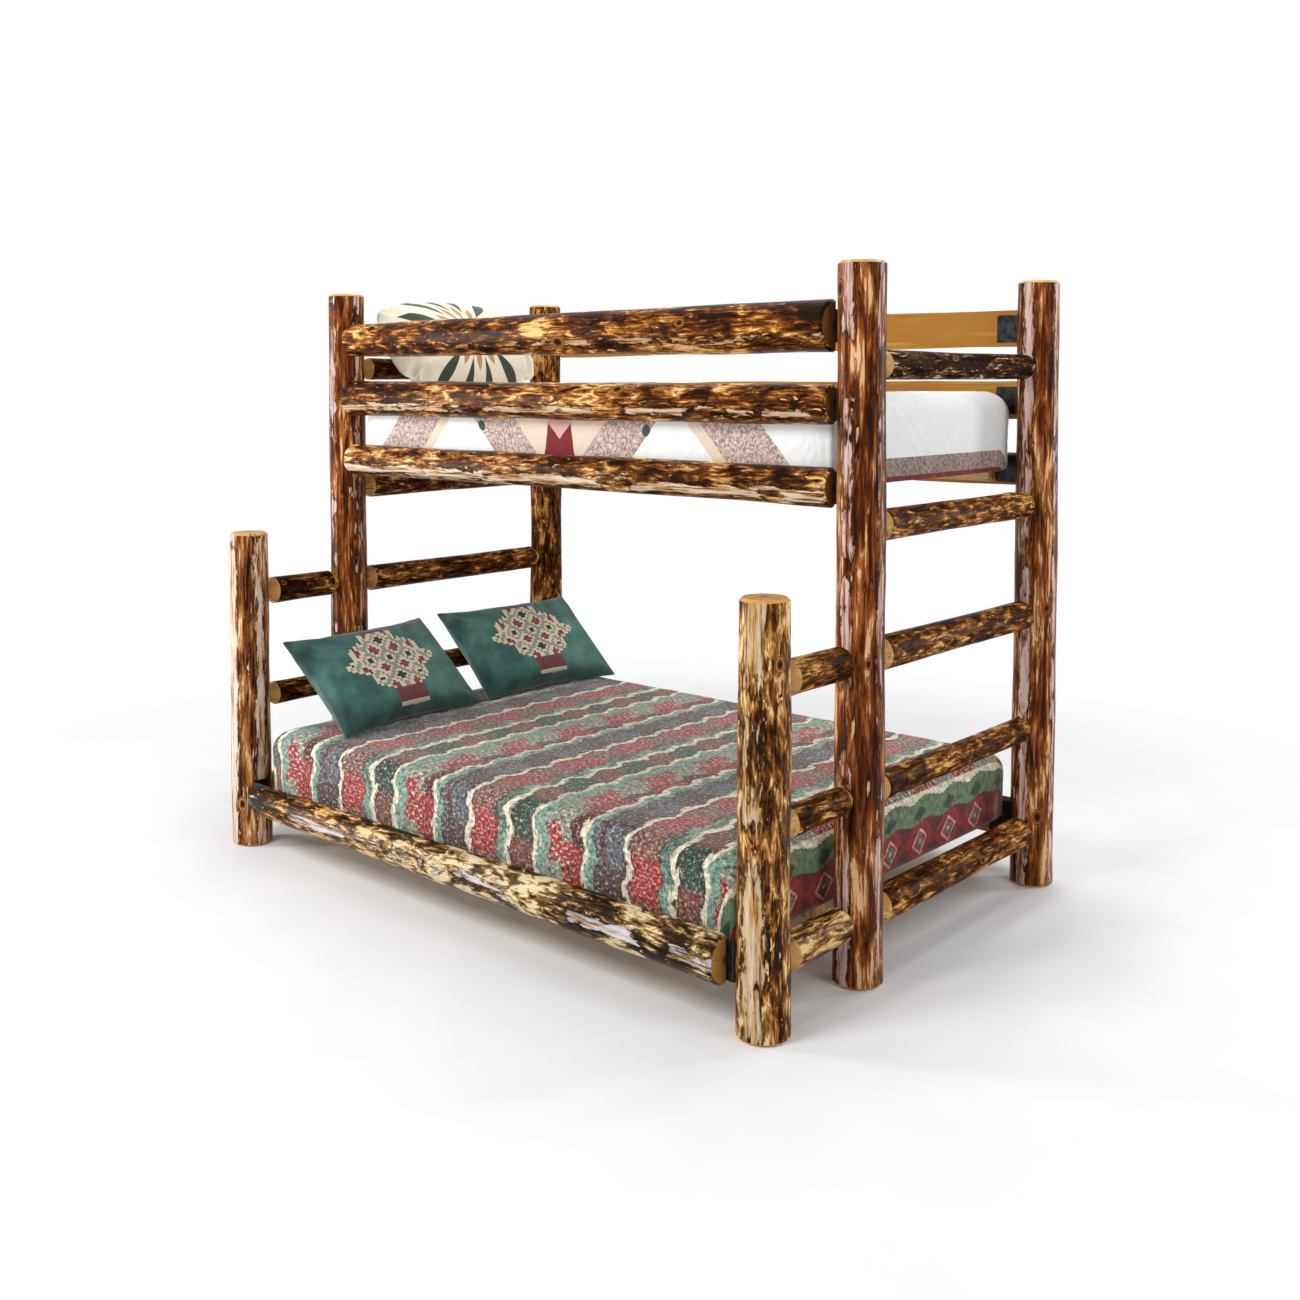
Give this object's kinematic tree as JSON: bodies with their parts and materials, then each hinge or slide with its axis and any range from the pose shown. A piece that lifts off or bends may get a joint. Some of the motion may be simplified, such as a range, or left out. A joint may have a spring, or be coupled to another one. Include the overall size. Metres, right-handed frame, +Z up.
{
  "type": "bunk bed",
  "caption": "Rustic log bunk bed: narrow bunk over a wide bed, tenoned ladder ends, half-log guard rails on steel brackets, with mattresses, covers and cushions.",
  "frame": {"origin": "on the floor, under the middle of the bed's outer box", "axes": "+X towards the foot end along the bed, +Y towards the back, away from the low front posts, +Z up"},
  "size_m": [2.2722, 1.581, 1.85],
  "materials": {
    "post_wood": "skip-peeled log, gloss lacquer",
    "rung_wood": "skip-peeled log, gloss lacquer",
    "rail_wood": "peeled half log, gloss lacquer, sawn inner face",
    "lumber": "planed softwood, unfinished",
    "black_steel": "satin black",
    "ticking": "woven cotton",
    "quilt_cloth": "quilted cotton patchwork",
    "blanket_cloth": "striped wool weave",
    "cushion_cloth": "woven wool",
    "pillow_cloth": "printed cotton"
  },
  "bodies": {
    "frame": {"front_post_foot": "post_wood", "middle_post_foot": "post_wood", "back_post_foot": "post_wood", "front_post_head": "post_wood", "middle_post_head": "post_wood", "back_post_head": "post_wood", "foot_step_rung_1": "rung_wood", "foot_step_rung_2": "rung_wood", "foot_step_rung_3": "rung_wood", "foot_ladder_rung_1": "rung_wood", "foot_ladder_rung_2": "rung_wood", "foot_ladder_rung_3": "rung_wood", "foot_ladder_rung_4": "rung_wood", "foot_ladder_rung_5": "rung_wood", "head_step_rung_1": "rung_wood", "head_step_rung_2": "rung_wood", "head_step_rung_3": "rung_wood", "head_ladder_rung_1": "rung_wood", "head_ladder_rung_2": "rung_wood", "head_ladder_rung_3": "rung_wood", "head_ladder_rung_4": "rung_wood", "head_ladder_rung_5": "rung_wood", "front_side_rail": "rail_wood", "front_bed_rail": "rail_wood", "front_mid_guard": "rail_wood", "front_top_guard": "rail_wood", "back_side_rail": "rail_wood", "back_bed_rail": "rail_wood", "back_mid_guard": "rail_wood", "back_top_guard": "rail_wood", "front_side_brackets": "black_steel", "front_upper_brackets": "black_steel", "back_side_brackets": "black_steel", "back_upper_brackets": "black_steel", "bracket_lag_screws": "black_steel", "bracket_wood_screws": "black_steel", "cleat_screws": "black_steel", "front_lower_cleat": "lumber", "back_lower_cleat": "lumber", "front_upper_cleat": "lumber", "back_upper_cleat": "lumber", "lower_slats": "lumber", "upper_slats": "lumber", "centre_beam": "lumber", "centre_legs": "lumber"},
    "lower_bedding": {"lower_mattress": "ticking", "blanket": "blanket_cloth"},
    "front_cushion": {"front_cushion": "cushion_cloth"},
    "back_cushion": {"back_cushion": "cushion_cloth"},
    "upper_bedding": {"upper_mattress": "ticking", "quilt": "quilt_cloth"},
    "pillow": {"pillow": "pillow_cloth"}
  },
  "joints": [
    {"name": "lower_bedding_lift", "type": "slide", "parent": "frame", "child": "lower_bedding", "axis": [0, 0, 1], "range_m": [0, 0.1]},
    {"name": "upper_bedding_lift", "type": "slide", "parent": "frame", "child": "upper_bedding", "axis": [0, 0, 1], "range_m": [0, 0.2]},
    {"name": "front_cushion_lift", "type": "slide", "parent": "lower_bedding", "child": "front_cushion", "axis": [0.6, 0, 0.8], "range_m": [0, 0.25]},
    {"name": "back_cushion_lift", "type": "slide", "parent": "lower_bedding", "child": "back_cushion", "axis": [0.6, 0, 0.8], "range_m": [0, 0.25]},
    {"name": "pillow_lift", "type": "slide", "parent": "upper_bedding", "child": "pillow", "axis": [0, 0, 1], "range_m": [0, 0.25]}
  ]
}
